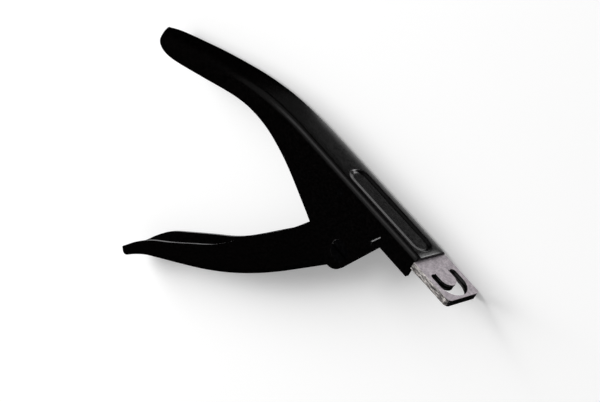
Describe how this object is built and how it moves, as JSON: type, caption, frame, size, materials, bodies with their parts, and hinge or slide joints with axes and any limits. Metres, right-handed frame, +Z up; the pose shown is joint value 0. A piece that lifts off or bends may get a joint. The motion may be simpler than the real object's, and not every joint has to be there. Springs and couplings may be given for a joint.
{
  "type": "wick trimmer",
  "caption": "Plier-style trimmer with a U-slotted steel head: squeezing the black channel handles drives a flat blade across the slot.",
  "frame": {"origin": "on the pivot axis, in the plane of the cheek that the tool lies on", "axes": "+Z up along the pivot axis, +X forward along the barrel to the head, +Y from the pivot to the web over the barrel"},
  "size_m": [0.1249, 0.086, 0.012],
  "materials": {
    "black_lacquer": "gloss black lacquer",
    "head_steel": "satin ground steel",
    "blade_steel": "ground hardened steel",
    "pin_steel": "turned steel",
    "spring_steel": "drawn spring wire",
    "carrier_steel": "sintered steel",
    "screw_steel": "nickel plated"
  },
  "bodies": {
    "body": {"upper_handle": "black_lacquer", "pivot_screw": "black_lacquer", "pivot_nut": "black_lacquer", "return_spring": "spring_steel", "stop_pin": "black_lacquer", "head_top_plate": "head_steel", "blade_guide": "head_steel", "head_bottom_plate": "head_steel", "barrel_floor": "black_lacquer", "head_screws": "screw_steel"},
    "lever": {"lower_handle": "black_lacquer", "drive_pin": "pin_steel"},
    "slide": {"blade_carrier": "carrier_steel", "blade": "blade_steel", "blade_screws": "screw_steel"}
  },
  "joints": [
    {"name": "handle_squeeze", "type": "hinge", "parent": "body", "child": "lever", "pos_m": [0, 0, 0.006], "axis": [0, 0, -1], "range_deg": [0, 37], "stiffness_Nm_per_rad": 0.45, "springref_deg": -20.05, "deforming": ["return_spring"]},
    {"name": "blade_stroke", "type": "slide", "parent": "body", "child": "slide", "axis": [1, 0, 0], "range_m": [0, 0.0086]}
  ],
  "couplings": [
    {"joint": "blade_stroke", "follows": "handle_squeeze", "m_per_rad": 0.013169}
  ]
}
